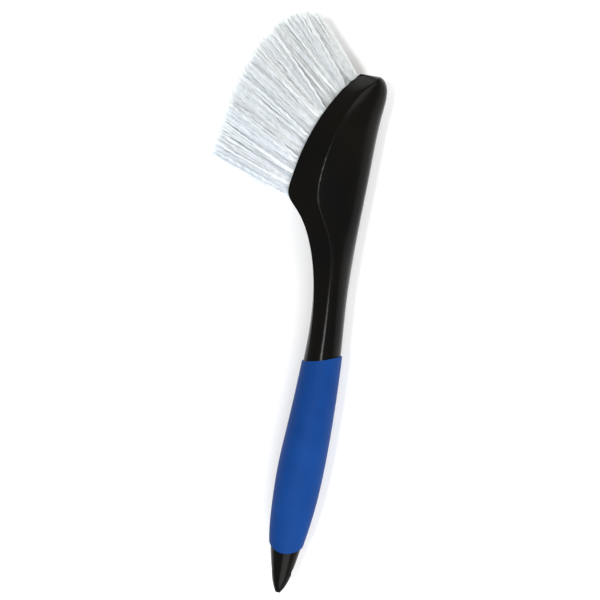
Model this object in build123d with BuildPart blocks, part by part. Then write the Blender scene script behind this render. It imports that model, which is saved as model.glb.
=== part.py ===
"""Wheel brush: a one-piece black handle and head, a soft grip sleeve moulded over the handle,
and a fan of separate crimped bristle tufts, each pinned in its own blind hole by a flat anchor.

Frame, in millimetres: the brush lies on its side. +X runs along the handle, from its tip to
the nose of the head. +Y is the way the bristles point. +Z is up, across the brush, which is
symmetrical about Z = 0. The origin is the middle of the hang hole near the tip.
"""
import os
from math import cos, radians, sin, sqrt

from build123d import *

os.makedirs("parts", exist_ok=True)

# --- Handle and head: guide lines as (X, value) points -------------------------------------
# The front line faces the bristle side, the back line faces away from it. The ridge line is
# where the body is widest, seen from the side, and half_width is how wide it is there.
FRONT_POINTS = [(-13.4, 1.2), (-7.4, 4.0), (4, 6.9), (16, 9.7), (33, 11.6), (54, 12.6), (84, 11.5),
                (124, 9.9), (145, 9.8), (163, 11.2), (180, 14.2), (194, 18.4), (203, 22.8),
                (210, 28.3), (214, 31.9), (219, 33.5)]
BACK_POINTS = [(-13.4, -1.4), (-8.5, -4.2), (3, -6.9), (14, -8.7), (35, -11.5), (65, -13.0),
               (100, -12.4), (130, -10.9), (160, -8.4), (195, -7.4), (240, -7.9), (272, -8.8),
               (284.5, -8.9), (289.3, -6.7), (291.2, -3.6)]
RIDGE_POINTS = [(-13.4, 0.0), (30, 0.3), (60, -0.6), (95, -2.4), (140, -1.4), (170, 0.4),
                (188, 2.6), (200, 7.0), (209, 11.9), (216, 14.7), (224, 15.6), (242, 13.9),
                (257, 11.0), (269, 7.3), (279, 2.8), (285, -1.5), (289, -4.2), (291.2, -1.8)]
HALF_WIDTH_POINTS = [(-13.4, 1.4), (-8, 3.9), (3, 6.2), (15, 8.4), (35, 11.2), (65, 13.0),
                     (100, 12.6), (128, 11.7), (155, 12.0), (178, 13.8), (199, 17.0),
                     (216, 19.6), (235, 20.9), (252, 20.5), (266, 18.6), (277, 15.0),
                     (284, 11.2), (288, 8.0), (291.2, 5.0)]
STATIONS = [-13.4, -12.4, -10.5, -7, 0, 10, 24, 42, 62, 84, 106, 124, 140, 156, 170, 182, 192,
            200, 206, 211, 215, 219.5, 226, 236, 256, 271, 277, 282, 286, 289, 291.2]
TIP_ARC = [(-11.6, -2.9), (-13.4, 0), (-11.6, 2.9)]      # (X, Z) of the rounded ends, from above
NOSE_ARC = [(284.9, 11.0), (291.2, 0), (284.9, -11.0)]

# --- Head --------------------------------------------------------------------------------
FACE_CENTRE = Vector(203.6, -123.2)   # the bristle face is an arc about this point
FACE_RADIUS = 157.5
FACE_START = 219.0                   # X where the front line becomes that arc
BAND_FLARE = 4.0                     # the band wall leans out this much, face edge to crease
CREASE_SOFTNESS = 1.8                # length of the rounded stretch on each side of the crease
CRISP_START, CRISP_END = 110.0, 216.0   # X range over which the oval neck gains its edges
OVAL = 0.55                          # Bezier handle that makes a near-elliptical quarter

# --- Grip sleeve ---------------------------------------------------------------------------
SLEEVE_PROUD = 0.8                   # sleeve surface outside the hard moulding's line
SLEEVE_SUNK = 1.7                    # sleeve bed below the hard moulding's line
SLEEVE_TOP = [(122.6, 18), (126.0, 0), (133.5, -18)]
SLEEVE_BOTTOM = [(22.5, 14), (12.0, 0), (22.5, -14)]

# --- Hang hole ---------------------------------------------------------------------------
HANG_HOLE_DIAMETER = 5.0

# --- Bristles ----------------------------------------------------------------------------
FAN_CENTRE = Vector(168.0, -104.5)   # all tufts point away from here, seen from the side
ROW_PITCH = 6.0                      # between neighbouring rows, across the head
TUFT_ANGLE_START = 4.7               # first tuft's place on the face arc, degrees past +Y
TUFT_ANGLE_PITCH = 2.5
TUFTS_PER_ROW = 12
SPLAY_PER_MM = 0.0075                # outer rows lean outwards by this much per mm from Z = 0
HOLE_DIAMETER = 4.5
HOLE_DEPTH = 12.0
HOLE_EDGE_MARGIN = 3.0               # least distance from a hole's axis to the face's edge
TUFT_ROOT_RADIUS = 2.2
TUFT_NECK = 1.5                      # height above the face where the tuft starts to spread
TUFT_BLANK_LENGTH = 62.0             # before the brush is trimmed
TUFT_BLANK_RADIUS = 4.6
TRIM_POINTS = [(195, 80.0), (260, 76.4), (309.5, 58.6), (320.6, 38.5), (313, 14)]
ANCHOR_WIDTH, ANCHOR_THICKNESS, ANCHOR_HEIGHT = 5.0, 0.4, 2.0
ANCHOR_LIFT = 1.0                    # the folded filaments lie under the anchor


# --- Guide lines ---------------------------------------------------------------------------
def guide_line(points):
    """A smooth line through the points, seen from the side or from the front."""
    with BuildLine() as line:
        Spline(*points)
    return line.edges()[0]


def value_at(line, x):
    """The guide line's value at a given X, found by halving the interval."""
    low, high = 0.0, 1.0
    for _ in range(24):
        middle = (low + high) / 2
        if (line @ middle).X < x:
            low = middle
        else:
            high = middle
    return (line @ high).Y


front_line = guide_line(FRONT_POINTS)
back_line = guide_line(BACK_POINTS)
ridge_line = guide_line(RIDGE_POINTS)
half_width_line = guide_line(HALF_WIDTH_POINTS)


def face_height(x):
    """Y of the bristle face, or of the front of the neck and handle below it."""
    if x < FACE_START:
        return value_at(front_line, x)
    return FACE_CENTRE.Y + sqrt(FACE_RADIUS**2 - (x - FACE_CENTRE.X) ** 2)


def face_half_width(x):
    """Half of the bristle face's width at X."""
    return value_at(half_width_line, x) - BAND_FLARE


def crispness(x):
    """0 where the section is a plain oval, 1 where it has a flat face and a crease."""
    share = min(1.0, max(0.0, (x - CRISP_START) / (CRISP_END - CRISP_START)))
    return share * share * (3 - 2 * share)


# --- Cross-sections --------------------------------------------------------------------------
def between(start, end, share):
    """The point at a share of the way from start to end."""
    return (start[0] + (end[0] - start[0]) * share, start[1] + (end[1] - start[1]) * share)


def split_curve(curve):
    """Halve a cubic Bezier curve into two."""
    a, b, c, d = curve
    ab, bc, cd = between(a, b, 0.5), between(b, c, 0.5), between(c, d, 0.5)
    abc, bcd = between(ab, bc, 0.5), between(bc, cd, 0.5)
    middle = between(abc, bcd, 0.5)
    return [a, ab, abc, middle], [middle, bcd, cd, d]


def section_curves(x, grow):
    """Three curves, front to back, that outline the upper half of the section at X."""
    front = face_height(x) + grow
    back = value_at(back_line, x) - grow
    ridge = value_at(ridge_line, x)
    half = value_at(half_width_line, x) + grow
    face_half = half - BAND_FLARE
    widest = (ridge, half)

    soft_front = [(front, 0), (front, OVAL * half), (ridge + OVAL * (front - ridge), half), widest]
    soft_face, soft_band = split_curve(soft_front)
    soft_side = [widest, (ridge - OVAL * (ridge - back), half), (back, OVAL * half), (back, 0)]

    corner = (front, face_half)
    depth = ridge - back
    crisp_face = [(front, 0), between((front, 0), corner, 1 / 3),
                  between((front, 0), corner, 2 / 3), corner]
    crisp_band = [corner, between(corner, widest, 1 / 3), (ridge + CREASE_SOFTNESS, half), widest]
    crisp_side = [widest, (ridge - min(CREASE_SOFTNESS, depth / 3), half),
                  (back, 0.62 * half), (back, 0)]

    share = crispness(x)
    pairs = [(soft_face, crisp_face), (soft_band, crisp_band), (soft_side, crisp_side)]
    return [[between(s, c, share) for s, c in zip(soft, crisp)] for soft, crisp in pairs]


def loft_body(stations, grow=0.0):
    """Loft the handle's section through the stations, grown or shrunk all round."""
    with BuildPart() as body:
        for x in stations:
            curves = section_curves(x, grow)
            with BuildSketch(Plane.YZ.offset(x)):
                with BuildLine():
                    for curve in curves:
                        Bezier(*curve)
                    for curve in reversed(curves):
                        Bezier(*[(y, -z) for y, z in reversed(curve)])
                make_face()
        loft()
    return body.part


# --- Hard moulding, before its holes -----------------------------------------------------------
with BuildPart() as hard_body:
    add(loft_body(STATIONS))
    with BuildSketch(Plane.XZ):
        with BuildLine():
            tip = ThreePointArc(*TIP_ARC)
            nose = ThreePointArc(*NOSE_ARC)
            Polyline(tip @ 1, (TIP_ARC[2][0], 25), (NOSE_ARC[0][0], 25), nose @ 0)
            Polyline(nose @ 1, (NOSE_ARC[2][0], -25), (TIP_ARC[0][0], -25), tip @ 0)
        make_face()
    extrude(amount=60, both=True, mode=Mode.INTERSECT)

# --- Grip sleeve -------------------------------------------------------------------------------
grip_stations = [x for x in STATIONS if 0 <= x <= 156]
sleeve_outside = loft_body(grip_stations, SLEEVE_PROUD)
sleeve_inside = loft_body(grip_stations, -SLEEVE_SUNK)

with BuildPart() as grip_zone:
    with BuildSketch(Plane.XY):
        with BuildLine():
            top = ThreePointArc(*SLEEVE_TOP)
            bottom = ThreePointArc(*SLEEVE_BOTTOM)
            Line(top @ 0, bottom @ 0)
            Line(top @ 1, bottom @ 1)
        make_face()
    extrude(amount=25, both=True)

with BuildPart() as sleeve_bed:
    add(grip_zone.part)
    add(sleeve_inside, mode=Mode.SUBTRACT)

with BuildPart() as grip_sleeve:
    add(sleeve_outside)
    add(sleeve_bed.part, mode=Mode.INTERSECT)
grip_sleeve.part.label = "grip_sleeve"
export_step(grip_sleeve.part, "parts/grip_sleeve.step")


# --- Tuft places -------------------------------------------------------------------------------
def tuft_plane(angle, z):
    """A plane at a tuft's root on the face, its normal along the tuft."""
    turn = radians(angle)
    root = FACE_CENTRE + Vector(sin(turn), cos(turn)) * FACE_RADIUS
    lean = (root - FAN_CENTRE).normalized()
    direction = Vector(lean.X, lean.Y, z * SPLAY_PER_MM)
    return Plane(origin=(root.X, root.Y, z), x_dir=(lean.Y, -lean.X, 0), z_dir=direction)


def tuft_places():
    """Name and plane of every tuft: five staggered rows, shorter where the face narrows."""
    places = {}
    for row in range(-2, 3):
        z = row * ROW_PITCH
        stagger = TUFT_ANGLE_PITCH / 2 if row % 2 else 0.0
        number = 0
        for step in range(TUFTS_PER_ROW):
            plane = tuft_plane(TUFT_ANGLE_START + stagger + step * TUFT_ANGLE_PITCH, z)
            if face_half_width(plane.origin.X) >= abs(z) + HOLE_EDGE_MARGIN:
                number += 1
                places[f"tuft_row{row + 3}_{number:02d}"] = plane
    return places


places = tuft_places()

# --- Anchors -----------------------------------------------------------------------------------
with BuildPart() as tuft_anchors:
    for plane in places.values():
        with BuildSketch(plane.offset(ANCHOR_LIFT - HOLE_DEPTH)):
            Rectangle(ANCHOR_WIDTH, ANCHOR_THICKNESS)
    extrude(amount=ANCHOR_HEIGHT)
tuft_anchors.part.label = "tuft_anchors"
export_step(tuft_anchors.part, "parts/tuft_anchors.step")

# --- Handle and head ---------------------------------------------------------------------------
with BuildPart() as handle_core:
    add(hard_body.part)
    add(sleeve_bed.part, mode=Mode.SUBTRACT)
    with BuildSketch(Plane.XZ):
        Circle(HANG_HOLE_DIAMETER / 2)
    extrude(amount=20, both=True, mode=Mode.SUBTRACT)
    for plane in places.values():
        with BuildSketch(plane.offset(-HOLE_DEPTH)):
            Circle(HOLE_DIAMETER / 2)
    extrude(amount=HOLE_DEPTH + 3, mode=Mode.SUBTRACT)
    add(tuft_anchors.part, mode=Mode.SUBTRACT)
handle_core.part.label = "handle_core"
export_step(handle_core.part, "parts/handle_core.step")

# --- Tufts -------------------------------------------------------------------------------------
with BuildPart() as trim_block:
    with BuildSketch(Plane.XY):
        with BuildLine():
            over = ThreePointArc(*TRIM_POINTS[:3])
            nose = ThreePointArc(*TRIM_POINTS[2:])
            Polyline(nose @ 1, (250, -40), (195, -40), over @ 0)
        make_face()
    extrude(amount=40, both=True)

for name, plane in places.items():
    with BuildPart() as tuft:
        with BuildSketch(plane.offset(-HOLE_DEPTH)):
            Circle(TUFT_ROOT_RADIUS)
        with BuildSketch(plane.offset(TUFT_NECK)):
            Circle(TUFT_ROOT_RADIUS)
        with BuildSketch(plane.offset(TUFT_BLANK_LENGTH)):
            Circle(TUFT_BLANK_RADIUS)
        loft(ruled=True)
        add(trim_block.part, mode=Mode.INTERSECT)
        with BuildSketch(plane.offset(ANCHOR_LIFT - HOLE_DEPTH)):
            Rectangle(ANCHOR_WIDTH, ANCHOR_THICKNESS)
        extrude(amount=ANCHOR_HEIGHT, mode=Mode.SUBTRACT)
    tuft.part.label = name
    export_step(tuft.part, f"parts/{name}.step")

print(len(places), "tufts")
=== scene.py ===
# %% [markdown]
# # A wheel brush, finished around its CAD frame
#
# A wheel brush washes the rim and the tyre of a car. It has a black moulded handle that widens
# into a curved head, a soft blue sleeve over the grip, and forty-eight tufts of crimped white
# filament, each pinned into its own hole by a flat steel anchor.
#
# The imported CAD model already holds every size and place. It is loaded first, and everything
# below is built around it, in metres, in the same frame: +X runs from the handle's tip to the
# nose of the head, +Y is the way the bristles point, and +Z is up.

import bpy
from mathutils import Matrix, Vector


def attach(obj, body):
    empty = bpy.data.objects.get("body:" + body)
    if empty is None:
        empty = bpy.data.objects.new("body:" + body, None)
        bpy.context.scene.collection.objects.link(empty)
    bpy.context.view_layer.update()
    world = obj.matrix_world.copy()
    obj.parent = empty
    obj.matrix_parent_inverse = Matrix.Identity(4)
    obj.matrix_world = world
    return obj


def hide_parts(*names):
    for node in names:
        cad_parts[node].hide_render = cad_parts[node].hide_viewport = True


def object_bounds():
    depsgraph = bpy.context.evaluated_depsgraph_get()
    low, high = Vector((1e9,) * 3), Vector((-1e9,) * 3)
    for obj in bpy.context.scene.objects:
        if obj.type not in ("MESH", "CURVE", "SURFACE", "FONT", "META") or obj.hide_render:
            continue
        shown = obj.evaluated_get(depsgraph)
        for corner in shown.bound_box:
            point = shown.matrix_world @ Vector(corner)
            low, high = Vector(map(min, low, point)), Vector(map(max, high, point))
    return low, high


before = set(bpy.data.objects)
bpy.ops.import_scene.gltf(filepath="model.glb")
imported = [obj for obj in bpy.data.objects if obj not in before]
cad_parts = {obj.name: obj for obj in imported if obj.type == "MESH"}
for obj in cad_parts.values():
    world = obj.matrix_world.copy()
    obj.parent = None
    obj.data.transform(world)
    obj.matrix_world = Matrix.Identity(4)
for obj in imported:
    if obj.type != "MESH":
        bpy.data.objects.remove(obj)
cad_low, cad_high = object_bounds()
print("CAD box from", tuple(cad_low), "to", tuple(cad_high))

# %% Tools from the library
import math
import random

import bpy
from mathutils import Matrix, Vector
from mathutils.geometry import intersect_line_plane

MM = 0.001

# %% [markdown]
# ## The camera
#
# The brush lies on its side, and the camera looks down on it from above with a long lens, so
# that the parallel lines of the handle stay nearly parallel. It leans a little towards the back
# of the brush and towards the nose, and it is rolled so that the handle stands nearly upright
# in the picture. A camera's three axes are worked out from those angles with cross products,
# which is surer than adding up Euler turns.

# %% Camera
LEAN_TO_BACK = math.radians(12.0)
LEAN_TO_NOSE = math.radians(4.0)
ROLL = math.radians(10.5)
CAMERA_DISTANCE = 750 * MM
AIM = Vector((157.5, 18.6, 0.0)) * MM
FOCAL_LENGTH = 77.6

towards = Vector((math.sin(LEAN_TO_NOSE),
                  -math.sin(LEAN_TO_BACK) * math.cos(LEAN_TO_NOSE),
                  math.cos(LEAN_TO_BACK) * math.cos(LEAN_TO_NOSE)))
along = (Vector((1, 0, 0)) - towards * towards.x).normalized()
across = along.cross(towards)
picture_up = along * math.cos(ROLL) - across * math.sin(ROLL)
picture_right = along * math.sin(ROLL) + across * math.cos(ROLL)

bpy.ops.object.camera_add()
camera = bpy.context.object
camera.name = "camera"
camera.data.lens = FOCAL_LENGTH
camera.matrix_world = Matrix.Translation(AIM + towards * CAMERA_DISTANCE) @ Matrix(
    (picture_right, picture_up, towards)).transposed().to_4x4()
bpy.context.scene.camera = camera
print("camera at", tuple(round(value, 3) for value in camera.matrix_world.translation))

# %% [markdown]
# ## The floor and the light
#
# The brush rests on a plain pale floor, at the lowest height that the CAD model reaches. Black
# plastic shows every lamp as a reflection. The handle runs straight along X, so it reflects what
# is beside it and never what is beyond its ends, and that is where the soft lamps stand, one
# beyond the tip and one beyond the nose. A small hard lamp overhead is placed so that it does
# reflect. It draws the bright line along the crease of the head and down the neck, and makes
# the flats of the crimped filaments sparkle. The world adds a dim even light.

# %% Floor
FLOOR_SIZE = 8.0

bpy.ops.object.select_all(action="DESELECT")
bpy.ops.mesh.primitive_plane_add(size=FLOOR_SIZE, location=(AIM.x, AIM.y, cad_low.z))
floor = bpy.context.object
floor.name = "floor"
print("floor at", round(cad_low.z, 5))

# %% Lights
COOL_WHITE, WARM_WHITE, PURE_WHITE = (0.97, 0.98, 1), (1, 0.98, 0.95), (1, 1, 1)
LAMPS = {
    "tip_light": {"to": (-0.62, -0.42, 0.66), "energy": 1.75, "spread": 44, "colour": COOL_WHITE},
    "nose_light": {"to": (0.62, -0.42, 0.66), "energy": 1.1, "spread": 44, "colour": WARM_WHITE},
    "hard_light": {"to": (-0.07, 0.11, 0.99), "energy": 1.2, "spread": 9, "colour": PURE_WHITE},
}
WORLD_LIGHT = 0.52


def add_lamp(name, to, energy, spread, colour):
    """A sun whose light comes from the direction given by to."""
    bpy.ops.object.light_add(type="SUN")
    lamp = bpy.context.object
    lamp.name = name
    lamp.rotation_euler = Vector(to).to_track_quat("Z", "Y").to_euler()
    lamp.data.energy = energy
    lamp.data.angle = math.radians(spread)
    lamp.data.color = colour


for name, settings in LAMPS.items():
    add_lamp(name, **settings)

world = bpy.data.worlds.new("studio")
bpy.context.scene.world = world
world.use_nodes = True
world.node_tree.nodes["Background"].inputs["Color"].default_value = (*PURE_WHITE, 1)
world.node_tree.nodes["Background"].inputs["Strength"].default_value = WORLD_LIGHT
bpy.context.scene.view_settings.view_transform = "Standard"
print(len(LAMPS), "lamps")

# %% [markdown]
# ## Building materials from nodes
#
# Every finish below is a Principled shader. What is the same all over a surface is set on the
# shader's own sockets, and what varies is driven by noise on the piece's Object coordinates,
# which stay put on the piece from every side. A few short helpers keep the recipes readable:
# they start a material, add noise, spread the noise over a range of values or colours, turn it
# into a bump, and put the finished material on a piece.


# %% Material helpers
NOISE_LOW, NOISE_HIGH = 0.3, 0.7
RAMP_LOW, RAMP_HIGH = 0.32, 0.68


def start_material(name):
    """A new material, with its node tree and its Principled shader."""
    material = bpy.data.materials.new(name)
    material.use_nodes = True
    tree = material.node_tree
    return material, tree, tree.nodes["Principled BSDF"]


def add_noise(tree, grain, detail=2.0, stretch=(1, 1, 1)):
    """Noise whose features are about one grain wide, in metres. Returns its value socket."""
    place = tree.nodes.new("ShaderNodeTexCoord")
    mapping = tree.nodes.new("ShaderNodeMapping")
    mapping.inputs["Scale"].default_value = stretch
    noise = tree.nodes.new("ShaderNodeTexNoise")
    noise.inputs["Scale"].default_value = 1 / grain
    noise.inputs["Detail"].default_value = detail
    tree.links.new(place.outputs["Object"], mapping.inputs["Vector"])
    tree.links.new(mapping.outputs["Vector"], noise.inputs["Vector"])
    return noise.outputs["Fac"]


def spread_over(tree, value, low, high):
    """The noise value, which keeps to the middle of 0 to 1, spread from low to high."""
    ranged = tree.nodes.new("ShaderNodeMapRange")
    ranged.inputs["From Min"].default_value = NOISE_LOW
    ranged.inputs["From Max"].default_value = NOISE_HIGH
    ranged.inputs["To Min"].default_value = low
    ranged.inputs["To Max"].default_value = high
    tree.links.new(value, ranged.inputs["Value"])
    return ranged.outputs["Result"]


def blend_colours(tree, value, first, second):
    """A colour that runs from first to second with the value."""
    ramp = tree.nodes.new("ShaderNodeValToRGB")
    ramp.color_ramp.elements[0].position = RAMP_LOW
    ramp.color_ramp.elements[0].color = (*first, 1)
    ramp.color_ramp.elements[1].position = RAMP_HIGH
    ramp.color_ramp.elements[1].color = (*second, 1)
    tree.links.new(value, ramp.inputs["Fac"])
    return ramp.outputs["Color"]


def add_bump(tree, height, depth, below=None):
    """A bump of that depth in metres, laid over another bump if one is given."""
    bump = tree.nodes.new("ShaderNodeBump")
    bump.inputs["Distance"].default_value = depth
    tree.links.new(height, bump.inputs["Height"])
    if below:
        tree.links.new(below, bump.inputs["Normal"])
    return bump.outputs["Normal"]


def give_finish(piece, material):
    """Puts the material on the whole piece."""
    piece.data.materials.clear()
    piece.data.materials.append(material)


# %% [markdown]
# ## The handle's plastic
#
# The handle and the head are one moulding in black polypropylene. The tool's cavity was
# spark-eroded, which leaves a fine even grain, so the plastic shines softly and never mirrors.
# Two layers of bump make it: the grain, and the slow waviness of a thick moulding that sank a
# little as it cooled. The black drifts slightly between a cool and a warm tone. Its specular
# level is low, because a white room would otherwise veil the black with grey.

# %% Handle plastic
COOL_BLACK, WARM_BLACK = (0.0018, 0.0018, 0.0017), (0.0036, 0.0028, 0.0016)

plastic, tree, shader = start_material("black_polypropylene")
tone = blend_colours(tree, add_noise(tree, 30 * MM), COOL_BLACK, WARM_BLACK)
tree.links.new(tone, shader.inputs["Base Color"])
fine_grain = add_noise(tree, 0.35 * MM, detail=3.0)
tree.links.new(spread_over(tree, fine_grain, 0.20, 0.27), shader.inputs["Roughness"])
waviness = add_bump(tree, add_noise(tree, 12 * MM), 0.05 * MM)
tree.links.new(add_bump(tree, fine_grain, 0.006 * MM, waviness), shader.inputs["Normal"])
shader.inputs["IOR"].default_value = 1.49
shader.inputs["Specular IOR Level"].default_value = 0.10

give_finish(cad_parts["handle_core"], plastic)
print("handle finished in", plastic.name)

# %% [markdown]
# ## The sleeve's rubber
#
# The grip is a sleeve of thermoplastic rubber, moulded over the handle in a second shot. Its
# skin is finely textured, which spreads the highlight so wide that it reads as matt, and a thin
# sheen catches light along its edges. The blue is full and a little uneven.

# %% Sleeve rubber
DEEP_BLUE, BRIGHT_BLUE = (0.0030, 0.038, 0.180), (0.0040, 0.046, 0.212)

rubber, tree, shader = start_material("blue_soft_rubber")
tone = blend_colours(tree, add_noise(tree, 22 * MM, detail=3.0), DEEP_BLUE, BRIGHT_BLUE)
tree.links.new(tone, shader.inputs["Base Color"])
skin = add_noise(tree, 0.28 * MM, detail=2.0)
tree.links.new(spread_over(tree, skin, 0.52, 0.66), shader.inputs["Roughness"])
softness = add_bump(tree, add_noise(tree, 6 * MM), 0.03 * MM)
tree.links.new(add_bump(tree, skin, 0.015 * MM, softness), shader.inputs["Normal"])
shader.inputs["IOR"].default_value = 1.5
shader.inputs["Specular IOR Level"].default_value = 0.08
shader.inputs["Sheen Weight"].default_value = 0.05
shader.inputs["Sheen Roughness"].default_value = 0.30

give_finish(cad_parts["grip_sleeve"], rubber)
print("sleeve finished in", rubber.name)

# %% [markdown]
# ## The anchors' steel
#
# Each tuft is held by a short piece of flat wire, driven into the hole across the folded
# filaments. Only a cut through the head would show it. Drawn wire has faint lines along its
# length, so its noise is stretched one way.

# %% Anchor steel
DARK_STEEL, BRIGHT_STEEL = (0.50, 0.50, 0.48), (0.66, 0.66, 0.64)

steel, tree, shader = start_material("drawn_steel_wire")
drawn_lines = add_noise(tree, 0.2 * MM, stretch=(1, 1, 0.05))
tone = blend_colours(tree, drawn_lines, DARK_STEEL, BRIGHT_STEEL)
tree.links.new(tone, shader.inputs["Base Color"])
tree.links.new(spread_over(tree, drawn_lines, 0.28, 0.42), shader.inputs["Roughness"])
shader.inputs["Metallic"].default_value = 1.0

give_finish(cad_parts["tuft_anchors"], steel)
print("anchors finished in", steel.name)

# %% [markdown]
# ## The filament
#
# The bristles are polyester filaments about a quarter of a millimetre thick. They are crimped
# between rollers, so each one runs in small waves with flattened sides, which keep the brush
# open and full, and here and there one of the flats catches the light. One filament is modelled
# by hand: a three-sided face is extruded up the part that sits in the hole, and then step by
# step along the waves. The three flat sides are left unsmoothed, so that they sparkle as the
# real ones do, and they keep a filament to sixty faces or so, because thousands of them are
# needed. The filaments on the outside of a tuft are pressed apart as they leave the hole and
# bulge outwards, so patterns with several bulges are modelled, each with a bow to either side.

# %% Filament sizes
FILAMENT_RADIUS = 0.135 * MM
ROOT_LENGTH = 11 * MM
FREE_LENGTH = 62 * MM
CRIMP_STEPS = 19
CRIMP_DEPTH = 0.21 * MM
BULGES = [0.0, 0.4, 0.8, 1.2, 1.6]
BOWS = [-0.8, 0.8]
BULGE_FACTOR = 4                     # makes the curve below reach 1 at its highest point


# %% Model one filament
def model_filament(name, bulge, bow):
    """A crimped filament that stands on the origin, straight for its length in the hole.

    The bulge, towards +X, is greatest a quarter of the way up, and the bow, along Y, is
    greatest half-way. Both are in millimetres.
    """
    bpy.ops.object.select_all(action="DESELECT")
    bpy.ops.mesh.primitive_circle_add(vertices=3, radius=FILAMENT_RADIUS, fill_type="NGON")
    filament = bpy.context.object
    filament.name = name
    bpy.ops.object.mode_set(mode="EDIT")
    bpy.ops.mesh.select_all(action="SELECT")
    places = [Vector((0, 0, 0)), Vector((0, 0, ROOT_LENGTH))]
    for step in range(1, CRIMP_STEPS + 1):
        share = step / CRIMP_STEPS
        outwards = bulge * BULGE_FACTOR * (math.sqrt(share) - share) * MM
        sideways = bow * math.sin(math.pi * share) * MM
        crimp = CRIMP_DEPTH * (1 if step % 2 else -1)
        height = ROOT_LENGTH + FREE_LENGTH * share
        places.append(Vector((outwards + crimp, sideways + crimp, height)))
    for start, end in zip(places, places[1:]):
        bpy.ops.mesh.extrude_region_move(TRANSFORM_OT_translate={"value": end - start})
    bpy.ops.mesh.select_all(action="SELECT")
    bpy.ops.mesh.normals_make_consistent(inside=False)
    bpy.ops.object.mode_set(mode="OBJECT")
    return filament


patterns = [[model_filament(f"filament_{bulge}_{bow}", bulge, bow) for bow in BOWS]
            for bulge in BULGES]
print(len(BULGES) * len(BOWS), "filaments of", len(patterns[0][0].data.polygons), "faces each")

# %% [markdown]
# ## The filament's plastic
#
# Clear polyester looks white in a bundle, because light is scattered from one filament to the
# next. No two filaments have quite the same tint, so three finishes are mixed in every tuft: a
# neutral one, a cool one and a darker grey one. The grey one is painted shade. It grows commoner
# towards the nose while the cool one is commoner at the fan's start, so the fan is painted darker
# and greyer towards the nose, where the tips shade each other. Light also passes through such
# thin pieces, which the shader's subsurface share stands for.

# %% Filament plastic
# The grey tint is painted shade, darker than the other two.
FILAMENT_TINTS = {
    "neutral_filament": (0.920, 0.952, 0.985),
    "cool_filament": (0.870, 0.938, 0.990),
    "painted_shade_filament": (0.740, 0.762, 0.745),
}


def filament_plastic(name, tint):
    """Glossy white polyester with that tint."""
    material, _, shader = start_material(name)
    shader.inputs["Base Color"].default_value = (*tint, 1)
    shader.inputs["Roughness"].default_value = 0.19
    shader.inputs["IOR"].default_value = 1.55
    shader.inputs["Subsurface Weight"].default_value = 0.3
    shader.inputs["Subsurface Radius"].default_value = (1, 1, 1)
    shader.inputs["Subsurface Scale"].default_value = 0.3 * MM
    return material


filament_plastics = [filament_plastic(name, tint) for name, tint in FILAMENT_TINTS.items()]
print(len(filament_plastics), "filament finishes")

# %% [markdown]
# ## The tufts
#
# A tuft is a bundle of filaments, folded in two and pushed into its hole, so they stand tight
# together at the root and spread until the tufts merge. Each CAD tuft is a plain cone that says
# where the tuft starts, which way it points and where it is trimmed. Its axis is read from its
# mesh, and a ray along the axis finds the trimmed end, so the outline is the CAD model's own.
#
# No brush keeps its tufts perfectly even. In a few places neighbouring filaments have parted
# and lean away from each other, which leaves a thin dark wedge, and near the nose the trimmed
# ends are more ragged than elsewhere. Both are placed by their angle in the fan, counted from
# straight across the handle towards the nose.

# %% Tuft sizes
HOLE_DEPTH = 12 * MM
FILAMENTS_PER_TUFT = 200
START_RADIUS = 0.6 * MM
END_RADIUS_ALONG, END_RADIUS_ACROSS = 13.0 * MM, 6.0 * MM
END_SCATTER = 1.8 * MM
LENGTH_SCATTER = 0.5 * MM
RAGGED_SCATTER = 1.3 * MM
FAN_CENTRE = Vector((168.0, -104.5)) * MM
SEED = 7

# %% Angles in the fan, in degrees
FAN_OVERHANG = 1.3
RAGGED_FROM, RAGGED_TO = 43.0, 49.0
PARTING_DEPTHS = {28.0: 1.1 * MM, 34.7: 0.8 * MM, 32.4: 0.6 * MM, 21.5: 0.5 * MM, 15.0: 0.5 * MM}
PARTING_WIDTH = 0.9


def fan_angle(point):
    """Degrees from +Y towards +X, about the fan's centre."""
    return math.degrees(math.atan2(point.x - FAN_CENTRE.x, point.y - FAN_CENTRE.y))


# %% Read a tuft's axis from its CAD node
BOTTOM_REACH = 0.6 * MM
FACING_DOWN = -0.98


def tuft_axis(node):
    """The middle of the tuft's flat bottom, and the direction that the tuft points in."""
    mesh = node.data
    points = [vertex.co for vertex in mesh.vertices]
    centre = sum(points, Vector()) / len(points)
    away = Vector((centre.x - FAN_CENTRE.x, centre.y - FAN_CENTRE.y, 0)).normalized()
    lowest = min(point.dot(away) for point in points)
    bottom = [point for point in points if point.dot(away) < lowest + BOTTOM_REACH]
    normals = [face.normal for face in mesh.polygons
               if face.normal.dot(away) < FACING_DOWN
               and face.center.dot(away) < lowest + BOTTOM_REACH]
    root = sum(bottom, Vector()) / len(bottom)
    return root, -sum(normals, Vector()).normalized()


# %% Find the fan's edges
tuft_nodes = sorted(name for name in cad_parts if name.startswith("tuft_row"))
axis_angles = [fan_angle(tuft_axis(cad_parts[name])[0]) for name in tuft_nodes]
fan_start, fan_end = min(axis_angles) - FAN_OVERHANG, max(axis_angles) + FAN_OVERHANG
print("the fan runs from", round(fan_start, 1), "to", round(fan_end, 1), "degrees")


# %% Arrange the trimmed ends
def part_from_neighbours(angle):
    """How far, in metres along the fan, an end leans away from the partings close to it."""
    return sum(math.copysign(depth * math.exp(-abs(angle - middle) / PARTING_WIDTH),
                             angle - middle)
               for middle, depth in PARTING_DEPTHS.items())


def arrange_end(point):
    """The end, brought back inside the fan's edges and moved away from the partings."""
    angle = fan_angle(point)
    inside = min(max(angle, 2 * fan_start - angle), 2 * fan_end - angle)
    radius = math.hypot(point.x - FAN_CENTRE.x, point.y - FAN_CENTRE.y)
    placed = math.radians(inside) + part_from_neighbours(inside) / radius
    return Vector((FAN_CENTRE.x + radius * math.sin(placed),
                   FAN_CENTRE.y + radius * math.cos(placed), point.z))


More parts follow.
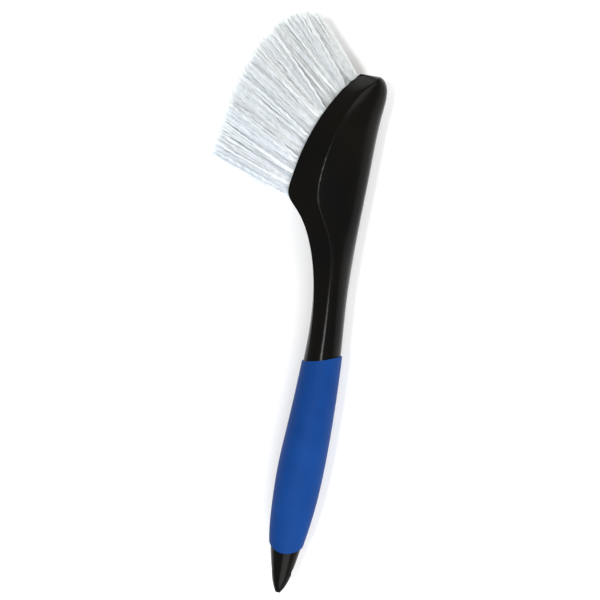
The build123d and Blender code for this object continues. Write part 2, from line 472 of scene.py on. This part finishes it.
# %% Place one filament
def place_filament(pattern, start, end, outwards, plastic):
    """A copy of the pattern, with its own mesh, from start to end, bulging outwards."""
    copy = pattern.copy()
    copy.data = pattern.data.copy()
    reach = end - start
    along_y = reach.cross(outwards).normalized()
    along_x = along_y.cross(reach).normalized()
    turn = Matrix((along_x, along_y, reach / (ROOT_LENGTH + FREE_LENGTH))).transposed()
    copy.data.transform(Matrix.Translation(start) @ turn.to_4x4())
    copy.data.materials.append(plastic)
    bpy.context.collection.objects.link(copy)
    return copy


# %% Fill one tuft
INSIDE_CONE = 20 * MM
random_numbers = random.Random(SEED)


def tint_weights(towards_nose):
    """Shares of the neutral, cool and grey tints, from 0 at the fan's start to 1 at its end.

    The grey tint is painted shade, and it grows commoner towards the end.
    """
    return 1, 1.5 - 1.2 * towards_nose, 0.1 + 2.4 * towards_nose**2


def fill_tuft(node):
    """The bundle of filaments that stands for one CAD tuft."""
    root, direction = tuft_axis(node)
    sideways = direction.cross(Vector((0, 0, 1))).normalized()
    upwards = sideways.cross(direction)
    _, cap_point, cap_normal, _ = node.ray_cast(root + direction * INSIDE_CONE, direction)
    # Painted shade: the tuft's place in the fan sets how often the grey tint is used.
    weights = tint_weights((fan_angle(cap_point) - fan_start) / (fan_end - fan_start))
    foot = root + direction * (HOLE_DEPTH - ROOT_LENGTH)
    top = root + direction * (HOLE_DEPTH + FREE_LENGTH)
    copies = []
    for _ in range(FILAMENTS_PER_TUFT):
        bearing = random_numbers.uniform(0, math.tau)
        share = math.sqrt(random_numbers.random())
        outwards = sideways * math.cos(bearing) + upwards * math.sin(bearing)
        along_fan = (math.cos(bearing) * share * END_RADIUS_ALONG
                     + random_numbers.gauss(0, END_SCATTER))
        across_rows = (math.sin(bearing) * share * END_RADIUS_ACROSS
                       + random_numbers.gauss(0, END_SCATTER / 2))
        start = foot + outwards * share * START_RADIUS
        aim = arrange_end(top + sideways * along_fan + upwards * across_rows)
        ragged = RAGGED_FROM < fan_angle(aim) < RAGGED_TO
        scatter = random_numbers.gauss(0, RAGGED_SCATTER if ragged else LENGTH_SCATTER)
        end = intersect_line_plane(start, aim, cap_point, cap_normal)
        end += (end - start).normalized() * scatter
        pattern = random_numbers.choice(patterns[round(share * (len(BULGES) - 1))])
        plastic, = random_numbers.choices(filament_plastics, weights)
        copies.append(place_filament(pattern, start, end, outwards, plastic))
    bpy.ops.object.select_all(action="DESELECT")
    for copy in copies:
        copy.select_set(True)
    bpy.context.view_layer.objects.active = copies[0]
    bpy.ops.object.join()
    return bpy.context.object


# %% Fill every tuft
for name in tuft_nodes:
    bundle = fill_tuft(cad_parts[name])
    bundle.name = name.replace("tuft", "bristles")
    bundle.data.name = bundle.name
    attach(bundle, "root")
    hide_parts(name)
print(len(tuft_nodes), "tufts of", FILAMENTS_PER_TUFT, "filaments")

# %% Put the patterns away
for pattern in (pattern for pair in patterns for pattern in pair):
    bpy.data.objects.remove(pattern)

# %% [markdown]
# ## The floor's finish
#
# Matt white paper, with nothing on it that could draw the eye from the brush.

# %% Floor paper
paper, _, shader = start_material("white_paper")
shader.inputs["Base Color"].default_value = (0.96, 0.96, 0.96, 1)
shader.inputs["Roughness"].default_value = 0.9
shader.inputs["Specular IOR Level"].default_value = 0.1
give_finish(floor, paper)
